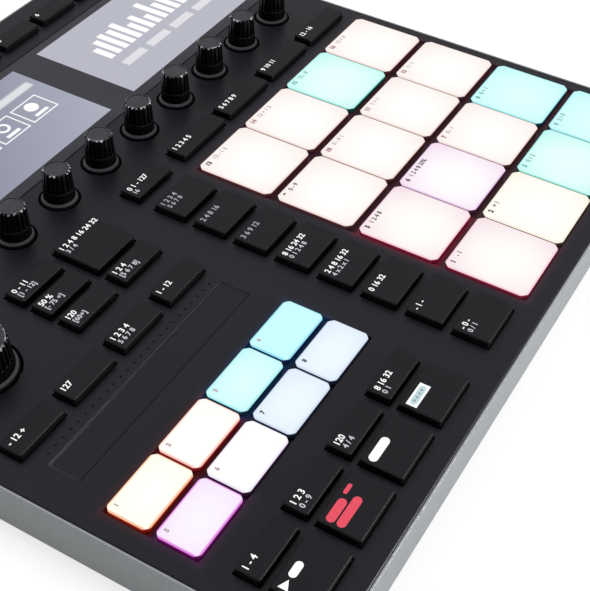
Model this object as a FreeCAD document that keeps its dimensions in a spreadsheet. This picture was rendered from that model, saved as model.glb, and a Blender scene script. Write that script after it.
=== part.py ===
import FreeCAD, Part
import Sketcher
import os

# Drum machine with sixteen pads, two screens and eight fluted knobs.
# Units are millimetres, X runs to the player's right, Y to the back, Z up.
# The origin lies on the table under the middle of the whole part in plan.

os.makedirs("parts", exist_ok=True)
doc = FreeCAD.newDocument("DrumMachine")
vec = FreeCAD.Vector

# Driving sizes and places, one row each in the sheet; a text row is a formula

sizes = [
    # case shell
    ("case_width", 320.0), ("case_depth", 301.0), ("case_corner", 6.0),
    ("case_wall", 2.4), ("case_floor", 2.0), ("case_under_bevel", 3.4),
    ("case_low", 3.6), ("case_high", 25.7),
    ("seat_edge", 0.8), ("panel_slack", 0.25),
    # edges that everything is measured from
    ("mid_y", "=-level_knob_out/2"),
    ("front_edge", "=mid_y-case_depth/2"), ("back_edge", "=mid_y+case_depth/2"),
    ("left_edge", "=-case_width/2"), ("right_edge", "=case_width/2"),
    # how far fused pieces run into each other, and cutters past a face
    ("weld", 0.2), ("past", 1.0),
    # top panel and the two lattices under its pads
    ("panel_top", 26.0), ("panel_thick", 2.0), ("panel_edge_bevel", 0.4),
    ("lattice_thick", 2.0), ("lattice_rim", 2.0),
    # sixteen pads, the first one at the back left of its field
    ("pad_count_x", 4), ("pad_count_y", 4),
    ("pad_first_x", "=right_edge-131.7"), ("pad_first_y", "=front_edge+139.8"),
    ("pad_pitch_x", 35.52), ("pad_pitch_y", 37.6),
    ("pad_width", 34.9), ("pad_depth", 34.5), ("pad_corner", 2.2),
    ("pad_corner_round", 1.4), ("pad_rise", 1.4), ("pad_sunk", 1.2), ("pad_bevel", 0.3),
    ("pad_stem_x", 28.0), ("pad_stem_y", 28.0),
    ("pad_lip_over", 1.4), ("pad_lip_thick", 1.2), ("pad_travel", 0.5),
    # eight group pads
    ("group_count_x", 4), ("group_count_y", 2),
    ("group_first_x", "=left_edge+23.3"), ("group_first_y", "=front_edge+77.2"),
    ("group_pitch_x", 28.4), ("group_pitch_y", 18.9),
    ("group_width", 27.4), ("group_depth", 16.7), ("group_corner", 1.8),
    ("group_stem_x", 21.0), ("group_stem_y", 11.0),
    # key caps and the plates that carry them
    ("key_rise", 3.0), ("key_width", 23.6), ("key_short", 9.2),
    ("key_square", 14.5), ("key_tall", 16.0),
    ("key_double", "=edit_pitch+key_short"),
    ("key_corner", 1.0), ("key_bevel", 0.35), ("key_slack", 0.45),
    ("key_carrier_over", 0.9), ("key_carrier_thick", 1.2),
    ("key_stem_side", 4.0), ("key_stem_drop", 3.85), ("key_travel", 0.8),
    ("under_gap", 0.35),
    # rows and columns of keys
    ("column_x", "=right_edge-168.5"), ("column_first_y", "=front_edge+149.85"),
    ("column_pitch", 18.75), ("column_count", 8),
    ("mode_y", "=front_edge+169.2"), ("mode_key_width", 31.6),
    ("edit_y", "=front_edge+169.6"), ("edit_pitch", 12.5), ("edit_count", 3),
    ("edit_double_y", "=edit_y-edit_pitch/2"),
    ("play_y", "=front_edge+124.6"),
    ("low_short_y", "=front_edge+33.9"), ("low_tall_y", "=front_edge+18.1"),
    ("upper_row_y", "=back_edge-16.5"), ("side_row_pitch", 18.2),
    ("side_row_count", 6), ("side_column_count", 2),
    # knobs between the screens and the keys
    ("knob_count", 8), ("knob_first_x", "=glass_left+14.5"), ("knob_pitch", 27.6),
    ("knob_y", "=back_edge-107.5"), ("knob_hole", 8.6), ("knob_skirt", 7.9),
    ("knob_skirt_rise", 0.5), ("knob_skirt_bevel", 0.4), ("knob_sunk", 1.3),
    ("knob_foot", 6.5), ("knob_foot_rise", 1.6), ("knob_low", 6.2),
    ("knob_seam", 5.8), ("knob_seam_deep", 0.2), ("knob_seam_wide", 0.3),
    ("knob_high", 5.6), ("knob_top", 15.0), ("knob_crown", 0.6),
    ("knob_dish", 4.6), ("knob_dish_deep", 0.25),
    ("knob_shaft", 3.0), ("knob_shaft_drop", 5.2), ("turn_slack", 0.4),
    ("knob_flute_floor", 5.15), ("knob_flute_wide", 0.95), ("knob_flute_count", 18),
    ("flute_reach", 2.0),
    # large push and turn encoder
    ("jog_x", "=left_edge+36.6"), ("jog_y", "=front_edge+158.3"), ("jog_hole", 14.7),
    ("jog_skirt", 13.8), ("jog_foot", 12.2), ("jog_low", 11.7), ("jog_seam", 5.6),
    ("jog_high", 10.9), ("jog_top", 14.6), ("jog_crown", 0.9), ("jog_dish", 9.2),
    ("jog_flute_floor", 10.35), ("jog_flute_wide", 1.1), ("jog_flute_count", 32),
    ("jog_stem_radius", 5.0), ("jog_stem_drop", 6.0), ("jog_stem_rise", 8.0),
    ("jog_cap_bore_rise", 8.8), ("jog_flange", 9.0), ("jog_flange_thick", 1.5),
    ("jog_travel", 0.7),
    # display glass and the screens under it
    ("glass_width", 221.0), ("glass_depth", 64.8),
    ("glass_left", "=right_edge-15.5-glass_width"),
    ("glass_front", "=back_edge-29.1-glass_depth"),
    ("glass_mid_x", "=glass_left+glass_width/2"),
    ("glass_mid_y", "=glass_front+glass_depth/2"),
    ("glass_thick", 1.2), ("glass_corner", 1.5), ("glass_slack", 0.2),
    ("screen_width", 95.04), ("screen_depth", 53.86), ("screen_inset", 6.98),
    ("screen_left_x", "=glass_left+screen_inset+screen_width/2"),
    ("screen_right_x", "=glass_left+glass_width-screen_inset-screen_width/2"),
    ("screen_module_x", 105.5), ("screen_module_y", 63.0),
    ("screen_module_thick", 3.0),
    # touch strip with its row of lights
    ("strip_width", 103.5), ("strip_depth", 12.7),
    ("strip_mid_x", "=left_edge+15+strip_width/2"),
    ("strip_mid_y", "=front_edge+99+strip_depth/2"),
    ("strip_recess", 1.2), ("strip_thick", 0.9), ("strip_slack", 0.15),
    ("strip_bevel", 0.2),
    ("light_first_x", "=left_edge+19"), ("light_pitch", 4.0), ("light_count", 25),
    ("light_y", "=front_edge+114.9"), ("light_radius", 0.5),
    # boards, switches and sensors
    ("board_low", 12.0), ("board_thick", 1.6), ("board_top", "=board_low+board_thick"),
    ("board_width", "=case_width-24"),
    ("board_front", "=front_edge+8.5"), ("board_back", "=back_edge-31.5"),
    ("switch_rise", 3.6), ("switch_side", 6.0),
    ("sensor_board_low", 17.6), ("sensor_rise", 0.2), ("sensor_side", 24.0),
    ("pillar_radius", 1.7), ("pillar_inset", 4.0),
    # encoders on the main board
    ("encoder_side", 12.0), ("encoder_top", 19.2), ("bush_wall", 2.0), ("bush_top", 23.0),
    ("jog_base_side", 24.0), ("jog_base_top", 17.0),
    # posts, screws and feet
    ("post_radius", 3.4), ("post_x", "=case_width/2-22"), ("post_y", "=case_depth/2-40.5"),
    ("screw_radius", 1.5), ("screw_head", 2.8), ("screw_head_thick", 1.4),
    ("screw_inset", 0.2), ("screw_slack", 0.05),
    ("foot_radius", 9.0), ("foot_x", "=case_width/2-24"),
    ("foot_y", "=case_depth/2-24.5"), ("foot_bevel", 0.8),
    # rear sockets
    ("wall_inside", "=back_edge-case_wall"),
    ("socket_z", 12.9), ("rear_slack", 0.15), ("face_out", 0.2),
    ("jack_bore", 3.3), ("jack_bush", 4.9), ("jack_bush_out", 1.2),
    ("jack_body_x", 14.0), ("jack_body_z", 8.8), ("jack_body_y", 24.0),
    ("jack_bore_deep", 21.0),
    ("pedal_x", "=right_edge-105.5"), ("line_in_left_x", "=right_edge-122.5"),
    ("line_in_right_x", "=right_edge-139"), ("mic_x", "=right_edge-155.5"),
    ("line_out_left_x", "=left_edge+83.5"), ("line_out_right_x", "=left_edge+66.5"),
    ("phones_x", "=left_edge+18"),
    ("midi_z", 14.0), ("midi_radius", 7.6), ("midi_bore", 6.8),
    ("midi_out_x", "=right_edge-69.5"), ("midi_in_x", "=right_edge-88"),
    ("midi_body_side", 16.0), ("midi_body_y", 8.0), ("midi_well_deep", 8.0),
    ("usb_x", "=right_edge-51"), ("usb_side", 12.2), ("usb_tall", 11.0),
    ("usb_wall", 0.8), ("usb_depth", 13.5), ("usb_tongue", 5.6),
    ("usb_tongue_tall", 3.3), ("usb_tongue_back", 1.2),
    ("dc_x", "=right_edge-35"), ("dc_radius", 4.6), ("dc_bore", 2.9),
    ("dc_body_side", 11.0), ("dc_body_y", 11.0), ("dc_bore_deep", 9.0),
    ("lock_x", "=right_edge-6.5"), ("lock_width", 3.0), ("lock_tall", 7.0),
    # rear controls
    ("power_x", "=right_edge-20"), ("power_radius", 4.2), ("power_out", 2.2),
    ("power_depth", 6.0), ("power_flange_over", 1.0), ("power_travel", 1.2),
    ("gain_x", "=right_edge-170"), ("level_x", "=left_edge+50"),
    ("phones_level_x", "=left_edge+35"),
    ("level_knob_radius", 4.4), ("level_knob_out", 5.0), ("level_knob_gap", 0.5),
    ("level_shaft", 2.2), ("level_shaft_deep", 8.0),
    ("level_flute_floor", 4.05), ("level_flute_wide", 0.8), ("level_flute_start", 1.2),
    ("level_flute_count", 14),
]

sheet = doc.addObject("Spreadsheet::Sheet", "Sizes")
for row, (word, value) in enumerate(sizes, start=1):
    sheet.set("A%d" % row, word)
    sheet.setAlias("B%d" % row, word)
    if not isinstance(value, str):
        sheet.set("B%d" % row, repr(value))
doc.recompute()
for row, (word, value) in enumerate(sizes, start=1):
    if isinstance(value, str):
        sheet.set("B%d" % row, value)
doc.recompute()
size = {word: float(sheet.get(word)) for word, value in sizes}


def many(word):
    """A count from the sheet as a range of numbers from 0."""
    return range(int(size[word]))


def v(text):
    """Turns size words in a formula into sheet references."""
    out = []
    word = ""
    for ch in text + " ":
        if ch.isalnum() or ch == "_":
            word += ch
            continue
        if word:
            out.append("Sizes." + word if word in size else word)
            word = ""
        out.append(ch)
    return "".join(out).strip()


def value_of(text):
    """Value of a sum of size words and numbers, with products allowed."""
    total = 0.0
    for term in text.replace("-", "+-").split("+"):
        if not term:
            continue
        product = -1.0 if term.startswith("-") else 1.0
        for factor in term.lstrip("-").split("*"):
            product *= size[factor] if factor in size else float(factor)
        total += product
    return total


def bind(obj, **formulas):
    """Binds properties of an object to formulas of size words."""
    for prop, text in formulas.items():
        obj.setExpression(prop.replace("__", "."), v(str(text)))


def place(obj, x="0", y="0", z="0", turn=None):
    """Binds the placement of an object, with an optional fixed turn."""
    if turn:
        obj.Placement = FreeCAD.Placement(vec(0, 0, 0), FreeCAD.Rotation(*turn))
    bind(obj, Placement__Base__x=x, Placement__Base__y=y, Placement__Base__z=z)


back_turn = (vec(1, 0, 0), -90)
axis_y, axis_z = 1, 2
front_plane = 4


# Tools for bodies made of features

def new_body(label, x="0", y="0", z="0"):
    """Starts a body whose own placement is bound to sheet sizes."""
    body = doc.addObject("PartDesign::Body", label)
    body.Label = label
    place(body, x, y, z)
    return body


def add_box(body, kind, lx, ly, lz, x="0", y="0", z="0"):
    """Adds or cuts a box centred in plan on x and y, standing on z."""
    box = body.newObject("PartDesign::%sBox" % kind, kind + "Box")
    bind(box, Length=lx, Width=ly, Height=lz)
    place(box, "(%s)-(%s)/2" % (x, lx), "(%s)-(%s)/2" % (y, ly), z)
    box.Refine = False
    return box


def add_round(body, kind, radius, height, x="0", y="0", z="0", turn=None):
    """Adds or cuts an upright cylinder, or a turned one."""
    rod = body.newObject("PartDesign::%sCylinder" % kind, kind + "Rod")
    bind(rod, Radius=radius, Height=height)
    place(rod, x, y, z, turn)
    rod.Refine = False
    return rod


def spin(body, feature, axis, count):
    """Repeats one feature round an axis of the body."""
    ring = body.newObject("PartDesign::PolarPattern", "Ring")
    ring.Originals = [feature]
    ring.Axis = (body.Origin.OriginFeatures[axis], [""])
    ring.Angle = 360
    bind(ring, Occurrences=count)
    body.Tip = ring
    return ring


def pick(shape, test):
    """Names of the edges that pass a test on their two end points."""
    names = []
    for number, edge in enumerate(shape.Edges, start=1):
        ends = [p.Point for p in edge.Vertexes]
        if len(ends) == 2 and test(ends[0], ends[1]):
            names.append("Edge%d" % number)
    return names


def dress(body, kind, amount, test):
    """Rounds or bevels the chosen edges of the body's last feature."""
    doc.recompute()
    base = body.Tip
    cut = body.newObject("PartDesign::" + kind, kind)
    cut.Base = (base, pick(base.Shape, test))
    bind(cut, **{"Radius" if kind == "Fillet" else "Size": amount})
    body.Tip = cut
    return cut


def upright(low, high):
    """Test for vertical edges reaching from below low to the height high."""
    def test(a, b):
        same = abs(a.x - b.x) < 1e-6 and abs(a.y - b.y) < 1e-6
        return same and max(a.z, b.z) > high - 1e-3 and min(a.z, b.z) < low + 1e-3
    return test


def level(height):
    """Test for edges lying at one height."""
    return lambda a, b: abs(a.z - height) < 1e-4 and abs(b.z - height) < 1e-4


def turned(body, points):
    """Turns a closed profile of radius and height formulas about Z."""
    sketch = body.newObject("Sketcher::SketchObject", "Profile")
    sketch.AttachmentSupport = (body.Origin.OriginFeatures[front_plane], [""])
    sketch.MapMode = "FlatFace"
    spots = [(value_of(r), value_of(z)) for r, z in points]
    count = len(spots)
    for n in range(count):
        a, b = spots[n], spots[(n + 1) % count]
        sketch.addGeometry(Part.LineSegment(vec(a[0], a[1], 0), vec(b[0], b[1], 0)), False)
    for n in range(count):
        sketch.addConstraint(Sketcher.Constraint("Coincident", n, 2, (n + 1) % count, 1))
    for n, (r, z) in enumerate(points):
        for kind, text, value in (("DistanceX", r, spots[n][0]), ("DistanceY", z, spots[n][1])):
            if abs(value) < 1e-9:
                sketch.addConstraint(Sketcher.Constraint(
                    "PointOnObject", n, 1, -2 if kind == "DistanceX" else -1))
                continue
            index = sketch.addConstraint(Sketcher.Constraint(kind, -1, 1, n, 1, value))
            if value < 0:
                sketch.setDatum(index, value)
            sketch.setExpression("Constraints[%d]" % index, v(text))
    turn = body.newObject("PartDesign::Revolution", "Turned")
    turn.Profile = sketch
    turn.ReferenceAxis = (sketch, ["V_Axis"])
    turn.Angle = 360
    sketch.Visibility = False
    body.Tip = turn
    return turn


# Tools for plain solids

def plain_box(label, lx, ly, lz, x, y, z):
    """A box centred in plan, bound to the sheet."""
    box = doc.addObject("Part::Box", label)
    bind(box, Length=lx, Width=ly, Height=lz)
    place(box, "(%s)-(%s)/2" % (x, lx), "(%s)-(%s)/2" % (y, ly), z)
    return box


def plain_rod(label, radius, height, x, y, z, turn=None):
    """A cylinder bound to the sheet."""
    rod = doc.addObject("Part::Cylinder", label)
    bind(rod, Radius=radius, Height=height)
    place(rod, x, y, z, turn)
    return rod


def join(label, pieces):
    """Fuses pieces into one named sub-part."""
    whole = doc.addObject("Part::MultiFuse", label)
    whole.Label = label
    whole.Shapes = pieces
    return whole


def carve(label, base, tools):
    """Cuts tools out of a base into one named sub-part."""
    tool = tools[0]
    if len(tools) > 1:
        tool = doc.addObject("Part::Compound", label + "_tools")
        tool.Links = tools
    cut = doc.addObject("Part::Cut", label)
    cut.Label = label
    cut.Base = base
    cut.Tool = tool
    return cut


# Where things stand: every key bank as caps of width, depth, x and y words

quad_x = ["group_first_x+%d*group_pitch_x" % n for n in many("group_count_x")]
knob_x = ["knob_first_x+%d*knob_pitch" % n for n in many("knob_count")]
column_keys = [("key_width", "key_square", "column_x", "column_first_y-%d*column_pitch" % n)
               for n in many("column_count")]
mode_keys = [("key_width", "key_short", "column_x", "mode_y")]
mode_keys += [("mode_key_width", "key_short", "pad_first_x+%d*pad_pitch_x" % n, "mode_y")
              for n in many("pad_count_x")]
edit_keys = [("key_width", "key_short", quad_x[2], "edit_y-%d*edit_pitch" % n)
             for n in many("edit_count")]
edit_keys += [("key_width", "key_short", quad_x[3], "edit_y-2*edit_pitch"),
              ("key_width", "key_double", quad_x[3], "edit_double_y")]
play_keys = [("key_width", "key_short", x, "play_y") for x in quad_x]
short_keys = [("key_width", "key_short", x, "low_short_y") for x in quad_x]
tall_keys = [("key_width", "key_tall", x, "low_tall_y") for x in quad_x]
screen_keys = [("key_width", "key_short", x, "upper_row_y") for x in knob_x]
side_keys = [("key_width", "key_short", quad_x[col], "upper_row_y-%d*side_row_pitch" % row)
             for col in many("side_column_count") for row in many("side_row_count")]
banks = [
    ("keys_section", column_keys), ("keys_mode", mode_keys), ("keys_edit", edit_keys),
    ("keys_play", play_keys), ("keys_transport_short", short_keys),
    ("keys_transport_tall", tall_keys), ("keys_screen", screen_keys), ("keys_side", side_keys),
]
all_keys = [key for _, keys in banks for key in keys]


def field(name):
    """Middle and span of a field of pads as formulas."""
    mid_x = "(%s_first_x+%s_pitch_x*(%s_count_x-1)/2)" % (name, name, name)
    mid_y = "(%s_first_y-%s_pitch_y*(%s_count_y-1)/2)" % (name, name, name)
    span_x = "(%s_pitch_x*(%s_count_x-1)+%s_width+2*key_slack)" % (name, name, name)
    span_y = "(%s_pitch_y*(%s_count_y-1)+%s_depth+2*key_slack)" % (name, name, name)
    return mid_x, mid_y, span_x, span_y


def pad_spots(name):
    """Middle of every pad of a field, row by row from its back left one."""
    return [("%s_first_x+%d*%s_pitch_x" % (name, col, name),
             "%s_first_y-%d*%s_pitch_y" % (name, row, name))
            for row in many(name + "_count_y") for col in many(name + "_count_x")]


corners = [(sx, sy) for sx in (-1, 1) for sy in (-1, 1)]
post_spots = [("%d*post_x" % sx, "mid_y+%d*post_y" % sy) for sx, sy in corners]
post_spots += [("%d*post_x" % sx, "mid_y") for sx in (-1, 1)]
jack_words = ["pedal_x", "line_in_left_x", "line_in_right_x", "mic_x",
              "line_out_left_x", "line_out_right_x", "phones_x"]
midi_words = ["midi_out_x", "midi_in_x"]
level_knobs = [("mic_gain_knob", "gain_x"), ("main_level_knob", "level_x"),
               ("phones_level_knob", "phones_level_x")]

# Case: a tray with a bevelled underside, a seat for the panel and posts

panel_low = "(panel_top-panel_thick)"
outer = new_body("case_outer", y="mid_y")
add_box(outer, "Additive", "case_width", "case_depth", "case_high-case_low", z="case_low")
dress(outer, "Fillet", "case_corner", upright(size["case_low"], size["case_high"]))
dress(outer, "Chamfer", "case_under_bevel", level(size["case_low"]))
seat = new_body("panel_seat", y="mid_y")
add_box(seat, "Additive", "case_width-2*seat_edge", "case_depth-2*seat_edge",
        "panel_thick+past", z=panel_low)
dress(seat, "Fillet", "case_corner-seat_edge",
      upright(size["panel_top"] - size["panel_thick"], size["panel_top"] + size["past"]))
cavity = plain_box("case_cavity", "case_width-2*case_wall", "case_depth-2*case_wall",
                   panel_low + "-case_low-case_floor+past", "0", "mid_y",
                   "case_low+case_floor")
hollow = carve("hollow_case", outer, [cavity])
posts = [plain_rod("post%d" % n, "post_radius", "board_low-case_low-case_floor+weld",
                   x, y, "case_low+case_floor-weld")
         for n, (x, y) in enumerate(post_spots)]
posted = join("case_with_posts", [hollow] + posts)
rear_in = "(wall_inside-past)"
rear_cut = "(case_wall+2*past)"
round_cuts = [(word, "jack_bush+rear_slack", "socket_z") for word in jack_words]
round_cuts += [(word, "midi_radius+rear_slack", "midi_z") for word in midi_words]
round_cuts += [("dc_x", "dc_radius+rear_slack", "socket_z"),
               ("power_x", "power_radius+turn_slack", "socket_z")]
round_cuts += [(word, "level_shaft+turn_slack", "socket_z") for _, word in level_knobs]
case_cuts = [plain_rod("rear_cut%d" % n, radius, rear_cut, word, rear_in, z, back_turn)
             for n, (word, radius, z) in enumerate(round_cuts)]
case_cuts.append(plain_box("usb_cut", "usb_side+2*rear_slack", rear_cut,
                           "usb_tall+2*rear_slack", "usb_x", rear_in + "+" + rear_cut + "/2",
                           "socket_z-usb_tall/2-rear_slack"))
case_cuts.append(plain_box("lock_cut", "lock_width", rear_cut, "lock_tall", "lock_x",
                           rear_in + "+" + rear_cut + "/2", "socket_z-lock_tall/2"))
case_cuts += [plain_rod("screw_cut%d" % n, "screw_radius+screw_slack", "board_low", x, y,
                        "case_low+screw_head_thick")
              for n, (x, y) in enumerate(post_spots)]
seated = carve("seated_case", posted, [seat] + case_cuts)
head_cuts = [plain_rod("head_cut%d" % n, "screw_head+screw_slack", "screw_head_thick+past",
                       x, y, "case_low-past")
             for n, (x, y) in enumerate(post_spots)]
case = carve("case", seated, head_cuts)

# Top panel: a plate with every opening, and two lattices under the pads

plate = new_body("panel_plate", y="mid_y", z="panel_top")
add_box(plate, "Additive", "case_width-2*seat_edge-2*panel_slack",
        "case_depth-2*seat_edge-2*panel_slack", "panel_thick", z="-panel_thick")
dress(plate, "Fillet", "case_corner-seat_edge-panel_slack", upright(-size["panel_thick"], 0.0))
dress(plate, "Chamfer", "panel_edge_bevel", level(0.0))
through = "panel_thick+2*past"
below = "panel_top-panel_thick-past"
openings = [plain_box("key_opening%d" % n, wide + "+2*key_slack", deep + "+2*key_slack",
                      through, x, y, below)
            for n, (wide, deep, x, y) in enumerate(all_keys)]
openings += [plain_rod("knob_opening%d" % n, "knob_hole", through, x, "knob_y", below)
             for n, x in enumerate(knob_x)]
openings.append(plain_rod("jog_opening", "jog_hole", through, "jog_x", "jog_y", below))
openings += [plain_rod("light_opening%d" % n, "light_radius", through,
                       "light_first_x+%d*light_pitch" % n, "light_y", below)
             for n in many("light_count")]
openings.append(plain_box("glass_recess", "glass_width+2*glass_slack",
                          "glass_depth+2*glass_slack", "glass_thick+past",
                          "glass_mid_x", "glass_mid_y", "panel_top-glass_thick"))
openings.append(plain_box("strip_recess_box", "strip_width+2*strip_slack",
                          "strip_depth+2*strip_slack", "strip_recess+past",
                          "strip_mid_x", "strip_mid_y", "panel_top-strip_recess"))
lattices = []
for name in ("pad", "group"):
    mid_x, mid_y, span_x, span_y = field(name)
    openings.append(plain_box(name + "_opening", span_x, span_y, through, mid_x, mid_y, below))
    web = plain_box(name + "_web", span_x + "+2*lattice_rim", span_y + "+2*lattice_rim",
                    "lattice_thick", mid_x, mid_y, panel_low + "-lattice_thick")
    holes = [plain_box("%s_hole%d" % (name, n), name + "_stem_x+2*turn_slack",
                       name + "_stem_y+2*turn_slack", "lattice_thick+2*past", x, y,
                       panel_low + "-lattice_thick-past")
             for n, (x, y) in enumerate(pad_spots(name))]
    lattices.append(carve(name + "_lattice", web, holes))
opened = carve("opened_plate", plate, openings)
windows = [plain_box("window_" + word, "screen_width+2*past", "screen_depth+2*past", through,
                     word, "glass_mid_y", below)
           for word in ("screen_left_x", "screen_right_x")]
windowed = carve("windowed_plate", opened, windows)
panel = join("top_panel", [windowed] + lattices)

# Pads and group pads: cap, stem through the lattice, and a lip under it


def make_pad(label, name, x, y):
    """One pad body, its origin on the panel face at the pad's middle."""
    body = new_body(label, x, y, "panel_top")
    add_box(body, "Additive", name + "_width", name + "_depth", "pad_rise+pad_sunk",
            z="-pad_sunk")
    corners = upright(-size["pad_sunk"], size["pad_rise"])
    dress(body, "Chamfer", name + "_corner", corners)
    dress(body, "Fillet", "pad_corner_round", corners)
    dress(body, "Chamfer", "pad_bevel", level(size["pad_rise"]))
    lip_top = "-panel_thick-lattice_thick-under_gap"
    stem_x = name + "_stem_x"
    stem_y = name + "_stem_y"
    add_box(body, "Additive", stem_x, stem_y,
            "panel_thick+lattice_thick+under_gap-pad_sunk+weld", z=lip_top)
    add_box(body, "Additive", stem_x + "+2*pad_lip_over", stem_y + "+2*pad_lip_over",
            "pad_lip_thick", z=lip_top + "-pad_lip_thick")


pad_names = []
for n, (x, y) in enumerate(pad_spots("pad")):
    columns = int(size["pad_count_x"])
    row_from_front = int(size["pad_count_y"]) - 1 - n // columns
    pad_names.append("pad_%02d" % (row_from_front * columns + n % columns + 1))
    make_pad(pad_names[-1], "pad", x, y)
group_names = []
for n, (x, y) in enumerate(pad_spots("group")):
    group_names.append("group_pad_%d" % (n + 1))
    make_pad(group_names[-1], "group", x, y)

# Key banks: caps on one carrier plate under the panel, with switch posts


def span(keys, axis):
    """Middle and length of a bank along one axis, as formulas."""
    ends = []
    for key in keys:
        mid, wide = key[axis + 2], key[axis]
        ends.append((value_of(mid) - size[wide] / 2, "(%s-%s/2)" % (mid, wide)))
        ends.append((value_of(mid) + size[wide] / 2, "(%s+%s/2)" % (mid, wide)))
    low, high = min(ends)[1], max(ends)[1]
    return "(%s+%s)/2" % (high, low), "(%s-%s+2*key_carrier_over)" % (high, low)


for label, keys in banks:
    body = new_body(label, z="panel_top")
    mid_x, wide = span(keys, 0)
    mid_y, deep = span(keys, 1)
    top = "-panel_thick-under_gap"
    add_box(body, "Additive", wide, deep, "key_carrier_thick", mid_x, mid_y,
            top + "-key_carrier_thick")
    for cap_x, cap_y, x, y in keys:
        add_box(body, "Additive", cap_x, cap_y, "key_rise+panel_thick+under_gap+weld",
                x, y, top + "-weld")
    dress(body, "Fillet", "key_corner",
          upright(-size["panel_thick"] - size["under_gap"], size["key_rise"]))
    dress(body, "Chamfer", "key_bevel", level(size["key_rise"]))
    for cap_x, cap_y, x, y in keys:
        add_box(body, "Additive", "key_stem_side", "key_stem_side", "key_stem_drop+weld",
                x, y, top + "-key_carrier_thick-key_stem_drop")

# Fluted knobs, turned from a profile and cut by a ring of grooves

for n, x in enumerate(knob_x, start=1):
    body = new_body("knob_%d" % n, x, "knob_y", "panel_top")
    turned(body, [
        ("0", "-knob_sunk"), ("knob_skirt", "-knob_sunk"),
        ("knob_skirt", "knob_skirt_rise-knob_skirt_bevel"),
        ("knob_skirt-knob_skirt_bevel", "knob_skirt_rise"),
        ("knob_foot", "knob_foot_rise"), ("knob_low", "knob_seam"),
        ("knob_low-knob_seam_deep", "knob_seam"),
        ("knob_low-knob_seam_deep", "knob_seam+knob_seam_wide"),
        ("knob_low", "knob_seam+knob_seam_wide"),
        ("knob_high", "knob_top-knob_crown"), ("knob_high-knob_crown", "knob_top"),
        ("knob_dish", "knob_top"), ("knob_dish", "knob_top-knob_dish_deep"),
        ("0", "knob_top-knob_dish_deep")])
    groove = add_box(body, "Subtractive", "flute_reach", "knob_flute_wide",
                     "knob_top-knob_seam", "knob_flute_floor+flute_reach/2", "0",
                     "knob_seam+knob_seam_wide")
    spin(body, groove, axis_z, "knob_flute_count")
    add_round(body, "Additive", "knob_shaft", "knob_shaft_drop+weld",
              z="-knob_sunk-knob_shaft_drop")

jog_stem = new_body("jog_stem", "jog_x", "jog_y", "panel_top")
add_round(jog_stem, "Additive", "jog_stem_radius", "jog_stem_drop+jog_stem_rise",
          z="-jog_stem_drop")
add_round(jog_stem, "Additive", "jog_flange", "jog_flange_thick",
          z="-jog_stem_drop-jog_flange_thick")
jog_cap = new_body("jog_cap", "jog_x", "jog_y", "panel_top")
turned(jog_cap, [
    ("0", "-knob_sunk"), ("jog_skirt", "-knob_sunk"),
    ("jog_skirt", "knob_skirt_rise-knob_skirt_bevel"),
    ("jog_skirt-knob_skirt_bevel", "knob_skirt_rise"),
    ("jog_foot", "knob_foot_rise"), ("jog_low", "jog_seam"),
    ("jog_high", "jog_top-jog_crown"), ("jog_high-jog_crown", "jog_top"),
    ("jog_dish", "jog_top"), ("jog_dish", "jog_top-knob_dish_deep"),
    ("0", "jog_top-knob_dish_deep")])
groove = add_box(jog_cap, "Subtractive", "flute_reach", "jog_flute_wide",
                 "jog_top-jog_seam+past", "jog_flute_floor+flute_reach/2", "0", "jog_seam")
spin(jog_cap, groove, axis_z, "jog_flute_count")
add_round(jog_cap, "Subtractive", "jog_stem_radius+turn_slack",
          "jog_cap_bore_rise+knob_sunk+past", z="-knob_sunk-past")

# Display glass, the two screens under it and the touch strip

glass = new_body("display_glass", "glass_mid_x", "glass_mid_y", "panel_top")
add_box(glass, "Additive", "glass_width", "glass_depth", "glass_thick", z="-glass_thick")
dress(glass, "Fillet", "glass_corner", upright(-size["glass_thick"], 0.0))
screens = []
for word in ("screen_left_x", "screen_right_x"):
    screens.append(plain_box("module_" + word, "screen_module_x", "screen_module_y",
                             "screen_module_thick", word, "glass_mid_y",
                             panel_low + "-screen_module_thick"))
    screens.append(plain_box("lit_" + word, "screen_width", "screen_depth",
                             "panel_thick-glass_thick", word, "glass_mid_y", panel_low))
display_modules = join("display_modules", screens)
touch_strip = new_body("touch_strip", "strip_mid_x", "strip_mid_y", "panel_top-strip_recess")
add_box(touch_strip, "Additive", "strip_width", "strip_depth", "strip_thick")
dress(touch_strip, "Chamfer", "strip_bevel", level(size["strip_thick"]))

# Boards: the main board with a switch under each front key, and the sensor boards

board_pieces = [plain_box("board", "board_width", "board_back-board_front", "board_thick",
                          "0", "(board_back+board_front)/2", "board_low")]
board_pieces += [plain_box("switch%d" % n, "switch_side", "switch_side", "switch_rise+weld",
                           x, y, "board_top-weld")
                 for n, (_, _, x, y) in enumerate(all_keys)
                 if value_of(y) + size["switch_side"] / 2 < size["board_back"]]
board_whole = join("board_whole", board_pieces)
board_holes = [plain_rod("board_hole%d" % n, "screw_radius+screw_slack",
                         "board_thick+2*past", x, y, "board_low-past")
               for n, (x, y) in enumerate(post_spots)]
main_board = carve("main_board", board_whole, board_holes)
sensor_pieces = []
for name in ("pad", "group"):
    mid_x, mid_y, span_x, span_y = field(name)
    sensor_pieces.append(plain_box(name + "_board", span_x, span_y, "board_thick",
                                   mid_x, mid_y, "sensor_board_low"))
    for sx, sy in corners:
        sensor_pieces.append(plain_rod(
            "%s_pillar%d%d" % (name, sx + 1, sy + 1), "pillar_radius",
            "sensor_board_low-board_top+weld",
            "%s+%d*(%s/2-pillar_inset)" % (mid_x, sx, span_x),
            "%s+%d*(%s/2-pillar_inset)" % (mid_y, sy, span_y), "board_top"))
for n, (x, y) in enumerate(pad_spots("pad")):
    sensor_pieces.append(plain_box("sensor%d" % n, "sensor_side", "sensor_side",
                                   "sensor_rise+weld", x, y,
                                   "sensor_board_low+board_thick-weld"))
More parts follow.
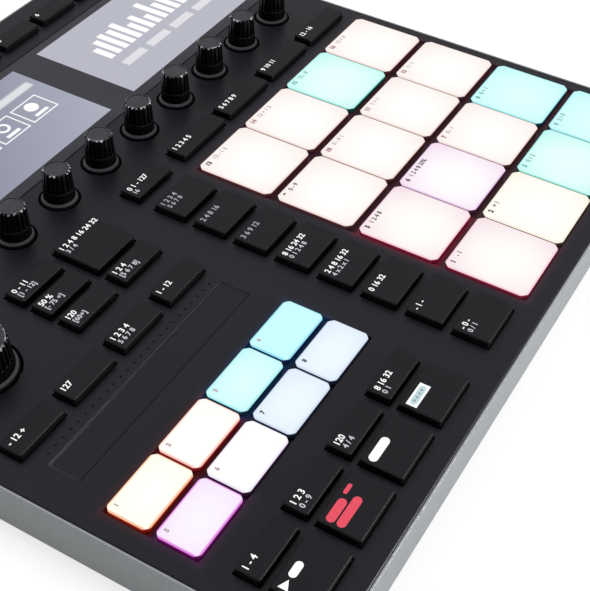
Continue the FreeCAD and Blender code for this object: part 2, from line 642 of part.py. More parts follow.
sensor_board = join("pad_sensor_boards", sensor_pieces)

# Encoders on the main board, with bushes that guide the turning shafts

encoder_bases = []
encoder_bores = []
for n, x in enumerate(knob_x):
    encoder_bases.append(plain_box("encoder%d" % n, "encoder_side", "encoder_side",
                                   "encoder_top-board_top", x, "knob_y", "board_top"))
    encoder_bases.append(plain_rod("bush%d" % n, "knob_shaft+bush_wall",
                                   "bush_top-encoder_top+weld", x, "knob_y",
                                   "encoder_top-weld"))
    encoder_bores.append(plain_rod("bush_bore%d" % n, "knob_shaft+turn_slack",
                                   "bush_top-encoder_top+past", x, "knob_y", "encoder_top"))
encoder_bases.append(plain_box("jog_base", "jog_base_side", "jog_base_side",
                               "jog_base_top-board_top", "jog_x", "jog_y", "board_top"))
encoder_whole = join("encoder_whole", encoder_bases)
encoders = carve("encoders", encoder_whole, encoder_bores)

# Feet and case screws

foot_pieces = []
for n, (sx, sy) in enumerate(corners):
    x, y = "%d*foot_x" % sx, "mid_y+%d*foot_y" % sy
    toe = doc.addObject("Part::Cone", "foot_toe%d" % n)
    bind(toe, Radius1="foot_radius-foot_bevel", Radius2="foot_radius", Height="foot_bevel")
    place(toe, x, y)
    foot_pieces.append(toe)
    foot_pieces.append(plain_rod("foot_pad%d" % n, "foot_radius", "case_low-foot_bevel",
                                 x, y, "foot_bevel"))
feet = join("feet", foot_pieces)
screw_pieces = []
for n, (x, y) in enumerate(post_spots):
    screw_pieces.append(plain_rod("screw_head%d" % n, "screw_head",
                                  "screw_head_thick-screw_inset", x, y, "case_low+screw_inset"))
    screw_pieces.append(plain_rod("screw_rod%d" % n, "screw_radius",
                                  "board_low-case_low-screw_head_thick", x, y,
                                  "case_low+screw_head_thick-weld"))
screws = join("case_screws", screw_pieces)

# Rear sockets, each standing just inside the rear wall


def rear_box(label, lx, ly, lz, x, z):
    """A block whose back face touches the inside of the rear wall."""
    return plain_box(label, lx, ly, lz, x, "wall_inside-(%s)/2" % ly, "%s-(%s)/2" % (z, lz))


def rear_ring(label, radius, out, x, z):
    """A round face that passes out through the rear wall."""
    return plain_rod(label, radius, "case_wall+weld+" + out, x, "wall_inside-weld", z, back_turn)


jack_parts = []
jack_bores = []
for n, word in enumerate(jack_words):
    jack_parts.append(rear_box("jack_body%d" % n, "jack_body_x", "jack_body_y", "jack_body_z",
                               word, "socket_z"))
    jack_parts.append(rear_ring("jack_bush%d" % n, "jack_bush", "jack_bush_out", word,
                                "socket_z"))
    jack_bores.append(plain_rod("jack_hole%d" % n, "jack_bore", "jack_bore_deep+past", word,
                                "back_edge+jack_bush_out-jack_bore_deep", "socket_z",
                                back_turn))
jack_whole = join("jack_whole", jack_parts)
audio_jacks = carve("audio_jacks", jack_whole, jack_bores)

midi_parts = []
midi_wells = []
for n, word in enumerate(midi_words):
    midi_parts.append(rear_box("midi_body%d" % n, "midi_body_side", "midi_body_y",
                               "midi_body_side", word, "midi_z"))
    midi_parts.append(rear_ring("midi_face%d" % n, "midi_radius", "face_out", word, "midi_z"))
    midi_wells.append(plain_rod("midi_well%d" % n, "midi_bore", "midi_well_deep+past", word,
                                "back_edge+face_out-midi_well_deep", "midi_z", back_turn))
midi_whole = join("midi_whole", midi_parts)
midi_sockets = carve("midi_sockets", midi_whole, midi_wells)

usb_outer = plain_box("usb_outer", "usb_side", "usb_depth", "usb_tall", "usb_x",
                      "back_edge-usb_depth/2", "socket_z-usb_tall/2")
usb_well = plain_box("usb_well", "usb_side-2*usb_wall", "usb_depth", "usb_tall-2*usb_wall",
                     "usb_x", "back_edge-usb_depth/2+2*usb_wall",
                     "socket_z-usb_tall/2+usb_wall")
usb_shell = carve("usb_shell", usb_outer, [usb_well])
usb_tongue = plain_box("usb_tongue_block", "usb_tongue", "usb_depth-2*usb_tongue_back",
                       "usb_tongue_tall", "usb_x", "back_edge-usb_depth/2",
                       "socket_z-usb_tongue_tall/2")
usb_socket = join("usb_socket", [usb_shell, usb_tongue])

dc_block = rear_box("dc_block", "dc_body_side", "dc_body_y", "dc_body_side", "dc_x",
                    "socket_z")
dc_face = rear_ring("dc_face", "dc_radius", "face_out", "dc_x", "socket_z")
dc_whole = join("dc_whole", [dc_block, dc_face])
dc_hole = plain_rod("dc_hole", "dc_bore", "dc_bore_deep+past", "dc_x",
                    "back_edge+face_out-dc_bore_deep", "socket_z", back_turn)
dc_socket = carve("dc_socket", dc_whole, [dc_hole])

# Rear controls: the power button and three small fluted level knobs

power = new_body("power_button", "power_x", "back_edge", "socket_z")
add_round(power, "Additive", "power_radius", "power_out+power_depth", y="-power_depth",
          turn=back_turn)
add_round(power, "Additive", "power_radius+power_flange_over",
          "power_depth-case_wall-turn_slack", y="-power_depth", turn=back_turn)
for label, word in level_knobs:
    body = new_body(label, word, "back_edge", "socket_z")
    add_round(body, "Additive", "level_knob_radius", "level_knob_out-level_knob_gap",
              y="level_knob_gap", turn=back_turn)
    groove = add_box(body, "Subtractive", "flute_reach", "level_knob_out", "level_flute_wide",
                     "level_flute_floor+flute_reach/2", "level_flute_start+level_knob_out/2",
                     "-level_flute_wide/2")
    spin(body, groove, axis_y, "level_flute_count")
    add_round(body, "Additive", "level_shaft", "level_shaft_deep+level_knob_gap+weld",
              y="-level_shaft_deep", turn=back_turn)

doc.recompute()

# Every named sub-part, checked and written

names = ["case", "top_panel", "display_glass", "display_modules", "touch_strip", "feet",
         "case_screws", "main_board", "pad_sensor_boards", "encoders", "audio_jacks",
         "midi_sockets", "usb_socket", "dc_socket", "jog_stem", "jog_cap", "power_button"]
names += [label for label, _ in level_knobs]
names += [label for label, _ in banks]
names += sorted(pad_names) + group_names
names += ["knob_%d" % (n + 1) for n in many("knob_count")]

for obj in doc.Objects:
    if "Invalid" in obj.State or "Error" in obj.State:
        raise RuntimeError("object not valid: %s %s" % (obj.Label, obj.State))

for name in names:
    obj = doc.getObjectsByLabel(name)[0]
    shape = obj.Shape
    if shape.isNull() or not shape.isValid() or not shape.Solids:
        raise RuntimeError("shape not valid: " + name)
    shape.exportStep("parts/%s.step" % name)
    print(name, "solids", len(shape.Solids), "volume %.1f" % shape.Volume)

print("nodes", len(names))
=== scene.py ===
import bpy
import bmesh
import math
from mathutils import Matrix, Vector


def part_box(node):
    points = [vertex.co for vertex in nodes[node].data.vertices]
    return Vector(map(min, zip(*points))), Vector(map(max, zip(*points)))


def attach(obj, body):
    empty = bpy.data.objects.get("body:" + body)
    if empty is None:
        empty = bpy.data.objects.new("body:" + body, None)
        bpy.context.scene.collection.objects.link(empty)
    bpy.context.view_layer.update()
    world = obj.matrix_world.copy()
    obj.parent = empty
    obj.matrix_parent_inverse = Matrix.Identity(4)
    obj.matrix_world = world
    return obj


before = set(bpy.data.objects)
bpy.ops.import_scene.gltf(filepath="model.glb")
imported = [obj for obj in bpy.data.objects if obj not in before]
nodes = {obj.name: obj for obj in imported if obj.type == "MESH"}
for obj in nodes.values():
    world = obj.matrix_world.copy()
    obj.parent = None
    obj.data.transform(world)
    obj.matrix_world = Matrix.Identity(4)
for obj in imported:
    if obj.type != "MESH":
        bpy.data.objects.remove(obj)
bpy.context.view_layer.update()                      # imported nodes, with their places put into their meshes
mm = 0.001
caseLow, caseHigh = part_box("case")
midY = (caseLow.y + caseHigh.y) / 2 / mm    # the case's middle, which the places below start from


# Shader building: a wrapped socket does its own sums

class Val:
    def __init__(self, shade, socket):
        self.shade = shade
        self.socket = socket

    def sum(self, operation, first, second=None, clamp=False):
        settings = {"operation": operation, "use_clamp": clamp}
        values = {0: first} if second is None else {0: first, 1: second}
        return self.shade.add("ShaderNodeMath", settings, values)

    def __add__(self, other):
        return self.sum("ADD", self, other)

    def __radd__(self, other):
        return self.sum("ADD", other, self)

    def __sub__(self, other):
        return self.sum("SUBTRACT", self, other)

    def __rsub__(self, other):
        return self.sum("SUBTRACT", other, self)

    def __mul__(self, other):
        return self.sum("MULTIPLY", self, other)

    def __rmul__(self, other):
        return self.sum("MULTIPLY", other, self)

    def __truediv__(self, other):
        return self.sum("DIVIDE", self, other)

    def __abs__(self):
        return self.sum("ABSOLUTE", self)

    def least(self, other):
        return self.sum("MINIMUM", self, other)

    def most(self, other):
        return self.sum("MAXIMUM", self, other)

    def power(self, other):
        return self.sum("POWER", self, other)

    def above(self, limit, soft):       # 0 below the limit, 1 above it, over a soft step
        return self.sum("ADD", (self - limit) / soft, 0.5, clamp=True)

    def below(self, limit, soft):
        return 1 - self.above(limit, soft)


class Shade:
    def __init__(self, name):
        self.material = bpy.data.materials.new(name)
        self.material.use_nodes = True
        self.tree = self.material.node_tree
        self.tree.nodes.clear()

    def node(self, kind, settings=None, values=None):
        made = self.tree.nodes.new(kind)
        for key, value in (settings or {}).items():
            setattr(made, key, value)
        for key, value in (values or {}).items():
            socket = made.inputs[key]
            if isinstance(value, Val):
                self.tree.links.new(value.socket, socket)
            elif isinstance(value, (tuple, list)) and socket.type == "RGBA" and len(value) == 3:
                socket.default_value = (*value, 1)
            else:
                socket.default_value = value
        return made

    def add(self, kind, settings=None, values=None, output=0):
        return Val(self, self.node(kind, settings, values).outputs[output])

    def place(self):                    # x, y and z of the surface in millimetres
        coords = self.add("ShaderNodeTexCoord", output="Object")
        split = self.node("ShaderNodeSeparateXYZ", values={0: coords})
        return [Val(self, split.outputs[n]) * 1000 for n in range(3)]

    def facing(self, normal=None):      # how far the surface looks up, 1 for a level top
        if normal is None:
            normal = self.add("ShaderNodeNewGeometry", output="Normal")
        split = self.node("ShaderNodeSeparateXYZ", values={0: normal})
        return Val(self, split.outputs[2])

    def noise(self, scale, detail=2, roughness=0.5, stretch=None):
        coords = self.add("ShaderNodeTexCoord", output="Object")
        if stretch:
            coords = self.add("ShaderNodeMapping", values={"Vector": coords, "Scale": stretch})
        values = {"Vector": coords, "Scale": scale, "Detail": detail, "Roughness": roughness}
        return self.add("ShaderNodeTexNoise", values=values)

    def mix(self, amount, first, second):
        settings = {"data_type": "RGBA"}
        return self.add("ShaderNodeMix", settings, {0: amount, 6: first, 7: second}, output=2)

    def lighter(self, first, second):
        return self.add("ShaderNodeVectorMath", {"operation": "MAXIMUM"}, {0: first, 1: second})

    def rounded(self, radius):          # softens the look of sharp edges
        return self.add("ShaderNodeBevel", {"samples": 4}, {"Radius": radius})

    def bump(self, height, depth, normal=None):
        values = {"Height": height, "Distance": depth, "Strength": 1.0}
        if normal is not None:
            values["Normal"] = normal
        return self.add("ShaderNodeBump", values=values)

    def finish(self, values):
        surface = self.node("ShaderNodeBsdfPrincipled", values=values)
        output = self.node("ShaderNodeOutputMaterial")
        self.tree.links.new(surface.outputs[0], output.inputs[0])
        return self.material


def srgb(red, green, blue):             # screen colour, 0 to 255, to a linear one
    out = []
    for part in (red, green, blue):
        part = part / 255
        out.append(part / 12.92 if part <= 0.04045 else ((part + 0.055) / 1.055) ** 2.4)
    return tuple(out)


def dress(name, material):
    node = nodes[name]
    if not node.material_slots:
        node.data.materials.append(material)
    for slot in node.material_slots:
        slot.material = material


# Plain finishes

# the pale wall colour here is a painted highlight for the walls round the touch strip recess
panelLook = {"colour": srgb(27, 27, 34), "pale": srgb(31, 31, 39), "rough": 0.3, "grain": 5200,
             "gloss": 0.42, "lip": srgb(96, 96, 102), "reach": 5.5, "joint": 0.7}
spills = {(0.034, 0.01, 0.014): ["pad_13", "pad_16"], (0.026, 0.008, 0.011): ["pad_09", "pad_04"],
          (0.12, 0.006, 0.02): ["pad_05"], (0.05, 0.008, 0.018): ["pad_01"],
          (0.05, 0.004, 0.004): ["group_pad_1", "group_pad_2"],
          (0.003, 0.016, 0.05): ["group_pad_3", "group_pad_4"],
          (0.04, 0.004, 0.036): ["group_pad_5"]}


def nearBox(x, y, name, over):          # 1 within a node's plan and a little around it
    low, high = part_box(name)
    inX = x.above(low.x / mm - over, 0.1) * x.below(high.x / mm + over, 0.1)
    return inX * y.above(low.y / mm - over, 0.1) * y.below(high.y / mm + over, 0.1)


def spillLight(shade, x, y):            # coloured light that the lit pads throw round them
    total = None
    for colour, names in spills.items():
        lows, highs = zip(*(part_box(name) for name in names))
        lowX, lowY = (min(low[axis] for low in lows) / mm for axis in (0, 1))
        highX, highY = (max(high[axis] for high in highs) / mm for axis in (0, 1))
        away = (lowX - x).most(x - highX).most(lowY - y).most(y - highY)
        amount = (1 - away.most(0) / panelLook["reach"]).most(0).power(3)
        part = shade.mix(amount, (0, 0, 0), colour)
        total = part if total is None else shade.lighter(total, part)
    return total


def panelCoat():
    shade = Shade("panelCoat")
    x, y = shade.place()[:2]
    cloud = shade.noise(9, 3)
    grain = shade.noise(panelLook["grain"], 2, 0.6)
    coat = shade.mix(cloud, panelLook["colour"], panelLook["pale"])
    # painted highlight: the walls round the touch strip recess are painted pale grey where light catches
    # them
    stripWallHighlight = nearBox(x, y, "touch_strip", 0.5) * shade.facing().below(0.6, 0.2)
    coat = shade.mix(stripWallHighlight, coat, panelLook["lip"])
    joint = nearBox(x, y, "display_glass", panelLook["joint"])
    normal = shade.bump(grain, 0.00002, shade.rounded(0.0003))
    return shade.finish({"Base Color": shade.mix(joint, coat, (0.001, 0.001, 0.001)),
                         "Roughness": panelLook["rough"] + grain * 0.1 + joint * 0.4,
                         "Specular IOR Level": panelLook["gloss"], "Normal": normal,
                         "Emission Color": spillLight(shade, x, y), "Emission Strength": 1.0})


caseLook = {"colour": (0.62, 0.645, 0.66), "streak": (0.5, 0.52, 0.54), "rough": 0.4}


def caseMetal():
    shade = Shade("caseMetal")
    grain = shade.noise(3800, 3, 0.7)
    streaks = shade.noise(900, 3, 0.6, stretch=(1, 1, 0.08))
    colour = shade.mix(streaks, caseLook["streak"], caseLook["colour"])
    normal = shade.bump(grain, 0.00003, shade.rounded(0.0006))
    return shade.finish({"Base Color": colour, "Metallic": 0.6,
                         "Roughness": caseLook["rough"] + grain * 0.14, "Normal": normal})


# the side colour is painted shade for the key walls
keyLook = {"top": srgb(26, 26, 31), "pale": srgb(30, 30, 35), "side": (0.0012, 0.0012, 0.0016),
           "rough": 0.42, "gloss": 0.3, "soft": 0.0007}


def keyPlastic():
    shade = Shade("keyPlastic")
    edge = shade.rounded(keyLook["soft"])
    # painted shade: the key walls are painted near black and the tops lighter, blended over the rounded
    # edge
    up = shade.facing(edge).above(0.55, 0.7)
    grain = shade.noise(4200, 2, 0.6)
    top = shade.mix(shade.noise(30, 2), keyLook["top"], keyLook["pale"])
    colour = shade.mix(up, keyLook["side"], top)
    normal = shade.bump(grain, 0.000014, edge)
    return shade.finish({"Base Color": colour, "Roughness": keyLook["rough"] + grain * 0.1,
                         "Specular IOR Level": keyLook["gloss"], "Normal": normal})


# the crown, edge, skirt and seam colours are painted light: reflection, glints and sheen on the black
# plastic
knobLook = {"body": (0.002, 0.002, 0.0024), "crownSheen": srgb(84, 84, 88), "crownSheenDim": srgb(64, 64, 68),
            "edge": srgb(200, 200, 206), "edgeBetweenGlints": srgb(30, 30, 33), "skirtSheen": srgb(76, 76, 82),
            "seamGlint": srgb(60, 60, 63)}
knobHeights = {"crownSheen": 37, "skirtSheen": (26.7, 28), "footGlint": (27.3, 27.7), "seamGlint": (31.75, 32.2),
               "sheen": 31, "sheenOver": 9}    # above the table, in millimetres


def knobPlastic():                      # crown with a painted reflection, flutes that fade downwards, painted glints on the crown's edge, the seam and the foot, and a painted sheen on the skirt
    shade = Shade("knobPlastic")
    z = shade.place()[2]
    up = shade.facing()
    skirtLow, skirtHigh = knobHeights["skirtSheen"]
    footLow, footHigh = knobHeights["footGlint"]
    seamLow, seamHigh = knobHeights["seamGlint"]
    high = z.above(knobHeights["crownSheen"], 0.5)
    # painted reflection: the knob top is painted a lighter grey for the bright room seen in it, mottled
    # with painted shading
    crownSheen = up.above(0.9, 0.1) * high
    # painted highlights: the chamfer round the knob top is painted with bright glints in spots
    edge = up.above(0.5, 0.1) * up.below(0.9, 0.1) * high
    # painted sheen: the upward faces of the skirt are painted lighter grey than the black body
    skirtSheen = up.above(0.2, 0.1) * z.below(skirtHigh, 0.3) * z.above(skirtLow, 0.15)
    # painted highlights: a broken light ring where the foot meets the skirt, and a light line along the
    # seam
    footGlint = z.above(footLow, 0.1) * z.below(footHigh, 0.1) * shade.noise(160, 0).above(0.5, 0.2)
    seamGlint = up.below(0.5, 0.1) * z.above(seamLow, 0.1) * z.below(seamHigh, 0.1)
    grain = shade.noise(3000, 2)
    cloud = shade.noise(260, 3, 0.6)
    glintSpots = shade.noise(420, 0).above(0.55, 0.15)
    colour = shade.mix(skirtSheen, knobLook["body"], knobLook["skirtSheen"])
    colour = shade.mix(seamGlint * 0.6 + footGlint * 0.5, colour, knobLook["seamGlint"])
    colour = shade.mix(crownSheen, colour, shade.mix(cloud, knobLook["crownSheenDim"], knobLook["crownSheen"]))
    colour = shade.mix(edge, colour, shade.mix(glintSpots, knobLook["edgeBetweenGlints"], knobLook["edge"]))
    rise = (z - knobHeights["sheen"]) / knobHeights["sheenOver"]
    sheen = rise.most(0).least(1) * 0.8 * (1 - crownSheen) + skirtSheen * 0.25
    return shade.finish({"Base Color": colour, "Roughness": 0.32 + grain * 0.1,
                         "Normal": shade.bump(grain, 0.000006), "Specular IOR Level": 0.05,
                         "Coat Weight": sheen, "Coat Roughness": 0.2})


def rubber():
    shade = Shade("footRubber")
    grain = shade.noise(2500, 3)
    return shade.finish({"Base Color": shade.mix(grain, (0.012, 0.012, 0.012), (0.03, 0.03, 0.03)),
                         "Roughness": 0.75 + grain * 0.15, "Normal": shade.bump(grain, 0.00004)})


def darkSteel():
    shade = Shade("screwSteel")
    grain = shade.noise(1800, 3, stretch=(1, 4, 1))
    return shade.finish({"Base Color": shade.mix(grain, (0.05, 0.05, 0.055), (0.1, 0.1, 0.105)),
                         "Metallic": 0.9, "Roughness": 0.34 + grain * 0.12})


def nickel():
    shade = Shade("nickelPlate")
    grain = shade.noise(2600, 3, stretch=(1, 1, 6))
    return shade.finish({"Base Color": shade.mix(grain, (0.46, 0.46, 0.45), (0.62, 0.62, 0.6)),
                         "Metallic": 1.0, "Roughness": 0.26 + grain * 0.16})


boardLook = {"low": 14.2, "high": 17.5, "parts": (0.02, 0.02, 0.02)}


def boardMask():                        # parts on a board stay black, the board is green
    shade = Shade("boardMask")
    z = shade.place()[2]
    weave = shade.noise(1500, 2)
    tracks = shade.noise(160, 0, stretch=(1, 0.12, 1)).above(0.55, 0.02)
    board = shade.mix(tracks, (0.004, 0.03, 0.014), (0.008, 0.055, 0.024))
    band = z.above(boardLook["low"], 0.2) * z.below(boardLook["high"], 0.1)
    colour = shade.mix(band, board, boardLook["parts"])
    return shade.finish({"Base Color": colour, "Roughness": 0.36 + weave * 0.1})


def socketPlastic():
    shade = Shade("socketPlastic")
    grain = shade.noise(2400, 3)
    return shade.finish({"Base Color": shade.mix(grain, (0.008, 0.008, 0.009), (0.02, 0.02, 0.022)),
                         "Roughness": 0.42 + grain * 0.12, "Normal": shade.bump(grain, 0.00002)})


def jackMetalAndPlastic():
    shade = Shade("jackBush")
    y = shade.place()[1]
    outside = y.above(caseHigh.y / mm + 0.1, 0.05)
    grain = shade.noise(2400, 3)
    colour = shade.mix(outside, (0.012, 0.012, 0.013), (0.5, 0.5, 0.49))
    return shade.finish({"Base Color": colour, "Metallic": outside,
                         "Roughness": 0.26 + grain * 0.2})


# the light and dark colours are a painted highlight and a painted shadow along the strip's edges
stripLook = {"colour": srgb(25, 25, 32), "pale": srgb(29, 29, 36), "light": srgb(92, 92, 98),
             "frontShadow": srgb(8, 8, 12), "fade": 62, "edge": 0.45}


def stripFilm():                        # a painted highlight line at the back edge and the left end, a painted shadow line at the front
    low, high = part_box("touch_strip")
    shade = Shade("stripFilm")
    x, y = shade.place()[:2]
    grain = shade.noise(5200, 2)
    away = (x - low.x / mm) / stripLook["fade"]
    # painted highlight along the back edge, fading to the right, and at the left end; painted shadow
    # along the front edge
    back = y.above(high.y / mm - stripLook["edge"], 0.3) * (1 - away).most(0)
    endHighlight = x.below(low.x / mm + stripLook["edge"], 0.3) * 0.35
    front = y.below(low.y / mm + stripLook["edge"], 0.3)
    film = shade.mix(grain, stripLook["colour"], stripLook["pale"])
    film = shade.mix(front, film, stripLook["frontShadow"])
    film = shade.mix(back.most(endHighlight), film, stripLook["light"])
    return shade.finish({"Base Color": film, "Roughness": panelLook["rough"] + grain * 0.1,
                         "Specular IOR Level": panelLook["gloss"],
                         "Normal": shade.bump(grain, 0.00001, shade.rounded(0.0003))})


# Lit pads: a pale middle, tinted corners, a thin coloured rim and a deep coloured wall

warm = {"middle": srgb(255, 255, 253), "corner": srgb(247, 234, 230), "rim": srgb(244, 222, 216),
        "wall": srgb(96, 52, 58)}
cream = {"middle": srgb(255, 255, 252), "corner": srgb(250, 246, 232), "rim": srgb(246, 240, 222),
         "wall": srgb(84, 60, 56)}
rose = {"middle": srgb(255, 254, 250), "corner": srgb(244, 220, 228), "rim": srgb(246, 206, 220),
        "wall": srgb(150, 28, 60)}
lilac = {"middle": srgb(255, 254, 255), "corner": srgb(243, 218, 238), "rim": srgb(232, 206, 236),
         "wall": srgb(96, 40, 76)}
mint = {"middle": srgb(233, 255, 253), "corner": srgb(190, 248, 242), "rim": srgb(168, 240, 226),
        "wall": srgb(22, 84, 78)}
aqua = {"middle": srgb(222, 255, 254), "corner": srgb(192, 247, 248), "rim": srgb(170, 240, 244),
        "wall": srgb(18, 62, 84)}
sky = {"middle": srgb(200, 255, 255), "corner": srgb(200, 248, 252), "rim": srgb(150, 226, 244),
       "wall": srgb(16, 44, 96)}
ice = {"middle": srgb(237, 249, 253), "corner": srgb(220, 233, 250), "rim": srgb(210, 222, 240),
       "wall": srgb(34, 40, 64)}
plain = {"middle": srgb(255, 255, 255), "corner": srgb(252, 250, 254), "rim": srgb(236, 226, 244),
         "wall": srgb(60, 30, 66)}
amber = {"middle": srgb(255, 255, 252), "corner": srgb(248, 251, 230), "rim": srgb(252, 190, 150),
         "wall": srgb(170, 34, 16)}
peach = {"middle": srgb(255, 255, 254), "corner": srgb(252, 250, 244), "rim": srgb(252, 196, 180),
         "wall": srgb(160, 26, 40)}
magenta = {"middle": srgb(250, 244, 253), "corner": srgb(247, 224, 252),
           "rim": srgb(226, 130, 226), "wall": srgb(120, 14, 110)}
padTints = {1: rose, 2: cream, 3: mint, 4: aqua, 5: rose, 6: lilac, 7: warm, 8: aqua,
            9: warm, 10: warm, 11: warm, 12: warm, 13: warm, 14: warm, 15: mint, 16: warm}
groupTints = {1: amber, 2: peach, 3: aqua, 4: sky, 5: magenta, 6: plain, 7: ice, 8: ice}
padLook = {"rim": 0.55, "spread": 0.5, "glow": 1.0, "wall": 0.4}


def litPad(name, node, tint):
    low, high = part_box(node)
    padX, padY = (low.x + high.x) / 2 / mm, (low.y + high.y) / 2 / mm
    halfX, halfY = (high.x - low.x) / 2 / mm, (high.y - low.y) / 2 / mm
    top = high.z / mm
    shade = Shade(name)
    x, y, z = shade.place()
    alongX, alongY = (x - padX) / halfX, (y - padY) / halfY
    spread = (alongX * alongX + alongY * alongY) * padLook["spread"]
    spread = spread + (alongX + alongY) * 0.1 + (shade.noise(45, 2) - 0.5) * 0.16
    inset = (halfX - abs(alongX * halfX)).least(halfY - abs(alongY * halfY))
    rim = inset.below(padLook["rim"], padLook["rim"])
    wall = z.below(top - padLook["wall"], 0.2)
    depth = ((z - top + 3) / 3).most(0).least(1).power(1.5)
    face = shade.mix(spread.most(0).least(1), tint["middle"], tint["corner"])
    face = shade.mix(rim, face, tint["rim"])
    side = shade.mix(depth, (0.001, 0.001, 0.001), tint["wall"])
    grain = shade.noise(1500, 2, 0.6)
    return shade.finish({"Base Color": shade.mix(wall, (0.02, 0.02, 0.02), (0.004, 0.004, 0.004)),
                         "Roughness": 0.52 + grain * 0.08, "Specular IOR Level": 0.12,
                         "Emission Color": shade.mix(wall, face, side),
                         "Emission Strength": padLook["glow"],
                         "Normal": shade.bump(grain, 0.000012, shade.rounded(0.0002))})


for number, tint in padTints.items():
    dress("pad_%02d" % number, litPad("padGlow%02d" % number, "pad_%02d" % number, tint))
for number, tint in groupTints.items():
    name = "group_pad_%d" % number
    dress(name, litPad("groupGlow%d" % number, name, tint))
print("pads lit")

# Two lit screens in one dark pane: pale fields with tiles and bars

screenLook = {"inset": 7.6, "front": 5.5, "width": 95.2, "depth": 55.2, "rightInset": 6.1,
              "pale": srgb(172, 175, 190), "deep": srgb(124, 129, 147), "right": srgb(183, 184, 196),
              "white": (1, 1, 1), "glow": 1.0, "bezel": srgb(66, 66, 73), "tile": 16.6, "tileDeep": 14.0,
              "tileStep": 19.0, "line": 0.7}


def boxMask(x, y, left, front, wide, deep, soft=0.25):
    inX = x.above(left, soft) * x.below(left + wide, soft)
    return inX * y.above(front, soft) * y.below(front + deep, soft)


def frameMask(x, y, left, front, wide, deep, line):
    outer = boxMask(x, y, left, front, wide, deep)
    inner = boxMask(x, y, left + line, front + line, wide - 2 * line, deep - 2 * line)
    return outer - inner


def dotMask(x, y, dotX, dotY, radius, soft=0.3):
    reach = ((x - dotX) * (x - dotX) + (y - dotY) * (y - dotY)).power(0.5)
    return reach.below(radius, soft)


tileLook = {"count": 4, "barX": 4.3, "barY": 1.9, "barWide": 8.0, "barDeep": 1.8,
            "dotX": 8.3, "dotY": 8.7, "radius": 3.3, "hole": 2.0}
barLook = {"count": 14, "inset": 16, "step": 5.4, "wide": 3.6, "up": 24,
           "blocks": 4, "blockStep": 19.2, "blockWide": 15.4, "blockTall": 4.6, "blockUp": 14}


def tileMarks(x, y, right, front):      # a row of outlined tiles: disc, ring, disc, ring
    look, sign = screenLook, tileLook
    marks = None
    for step in range(sign["count"]):
        left = right - look["tile"] - step * look["tileStep"]
        mark = frameMask(x, y, left, front, look["tile"], look["tileDeep"], look["line"])
        mark = mark.most(boxMask(x, y, left + sign["barX"], front + sign["barY"],
                                 sign["barWide"], sign["barDeep"]))
        dotX, dotY = left + sign["dotX"], front + sign["dotY"]
        dot = dotMask(x, y, dotX, dotY, sign["radius"])
        if step % 2 == 1:
            dot = dot - dotMask(x, y, dotX, dotY, sign["hole"])
        mark = mark.most(dot)
        marks = mark if marks is None else marks.most(mark)
    return marks


def barMarks(x, y, left, front):        # a level display of fourteen bars over four blocks
    look = barLook
    start = left + look["inset"]
    marks = None
    for step in range(look["count"]):
        tall = 6 + 9 * abs(math.sin(1.7 * step + 0.6)) + 5 * abs(math.sin(0.53 * step))
        mark = boxMask(x, y, start + look["step"] * step, front + look["up"], look["wide"], tall)
        marks = mark if marks is None else marks.most(mark)
    for step in range(look["blocks"]):
        block = boxMask(x, y, start + look["blockStep"] * step, front + look["blockUp"],
                        look["blockWide"], look["blockTall"])
        marks = marks.most(block * 0.5)
    return marks


def screenPane():
    glassLow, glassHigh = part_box("display_glass")
    look = screenLook
    wide, deep = look["width"], look["depth"]
    front = glassLow.y / mm + look["front"]
    leftX = glassLow.x / mm + look["inset"]
    rightX = glassHigh.x / mm - look["rightInset"] - wide
    shade = Shade("screenPane")
    x, y = shade.place()[:2]
    top = shade.facing().above(0.9, 0.05)
    lit = boxMask(x, y, leftX, front, wide, deep, 0.2)
    lit = lit.most(boxMask(x, y, rightX, front, wide, deep, 0.2)) * top
    slope = (x - leftX) / (1.3 * wide) + (y - front) / (-2.4 * deep) + 0.22
    field = shade.mix(slope.least(1).most(0), look["deep"], look["pale"])
    field = shade.mix(x.above((leftX + rightX + wide) / 2, 1), field, look["right"])
    marks = tileMarks(x, y, leftX + wide - 9.2, front + 21.7)
    marks = marks.most(boxMask(x, y, leftX + 4, front + deep - 14.7, wide - 7.5, 4.4, 1.2) * 0.6)
    marks = marks.most(barMarks(x, y, rightX, front))
    picture = shade.mix(marks, field, look["white"])
    smear = shade.noise(20, 3)
    base = shade.mix(lit, look["bezel"], (0.004, 0.004, 0.005))
    return shade.finish({"Base Color": base, "Roughness": 0.16 + smear * 0.06,
                         "Specular IOR Level": 0.16,
                         "Emission Color": shade.mix(lit, (0, 0, 0), picture),
                         "Emission Strength": look["glow"], "Normal": shade.rounded(0.0003)})


def moduleFace():
    shade = Shade("moduleFace")
    weave = shade.noise(1800, 2)
    return shade.finish({"Base Color": shade.mix(weave, (0.03, 0.03, 0.034), (0.06, 0.06, 0.066)),
                         "Roughness": 0.4 + weave * 0.1})


dress("display_modules", moduleFace())
dress("display_glass", screenPane())
print("screens drawn")

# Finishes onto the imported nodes

panelFinish = panelCoat()
metalFinish = caseMetal()
keyFinish = keyPlastic()
knobFinish = knobPlastic()
plasticFinish = socketPlastic()
boardFinish = boardMask()
nickelFinish = nickel()
keyBanks = ["keys_section", "keys_mode", "keys_edit", "keys_play", "keys_transport_short",
            "keys_transport_tall", "keys_screen", "keys_side"]
finishOf = {"top_panel": panelFinish, "case": metalFinish, "touch_strip": stripFilm(),
            "feet": rubber(), "case_screws": darkSteel(), "main_board": boardFinish,
            "pad_sensor_boards": boardFinish, "encoders": nickelFinish,
            "audio_jacks": jackMetalAndPlastic(), "midi_sockets": plasticFinish,
            "usb_socket": nickelFinish, "dc_socket": plasticFinish, "jog_stem": nickelFinish,
            "jog_cap": knobFinish, "power_button": keyFinish, "mic_gain_knob": knobFinish,
            "main_level_knob": knobFinish, "phones_level_knob": knobFinish}
for name in keyBanks:
    finishOf[name] = keyFinish
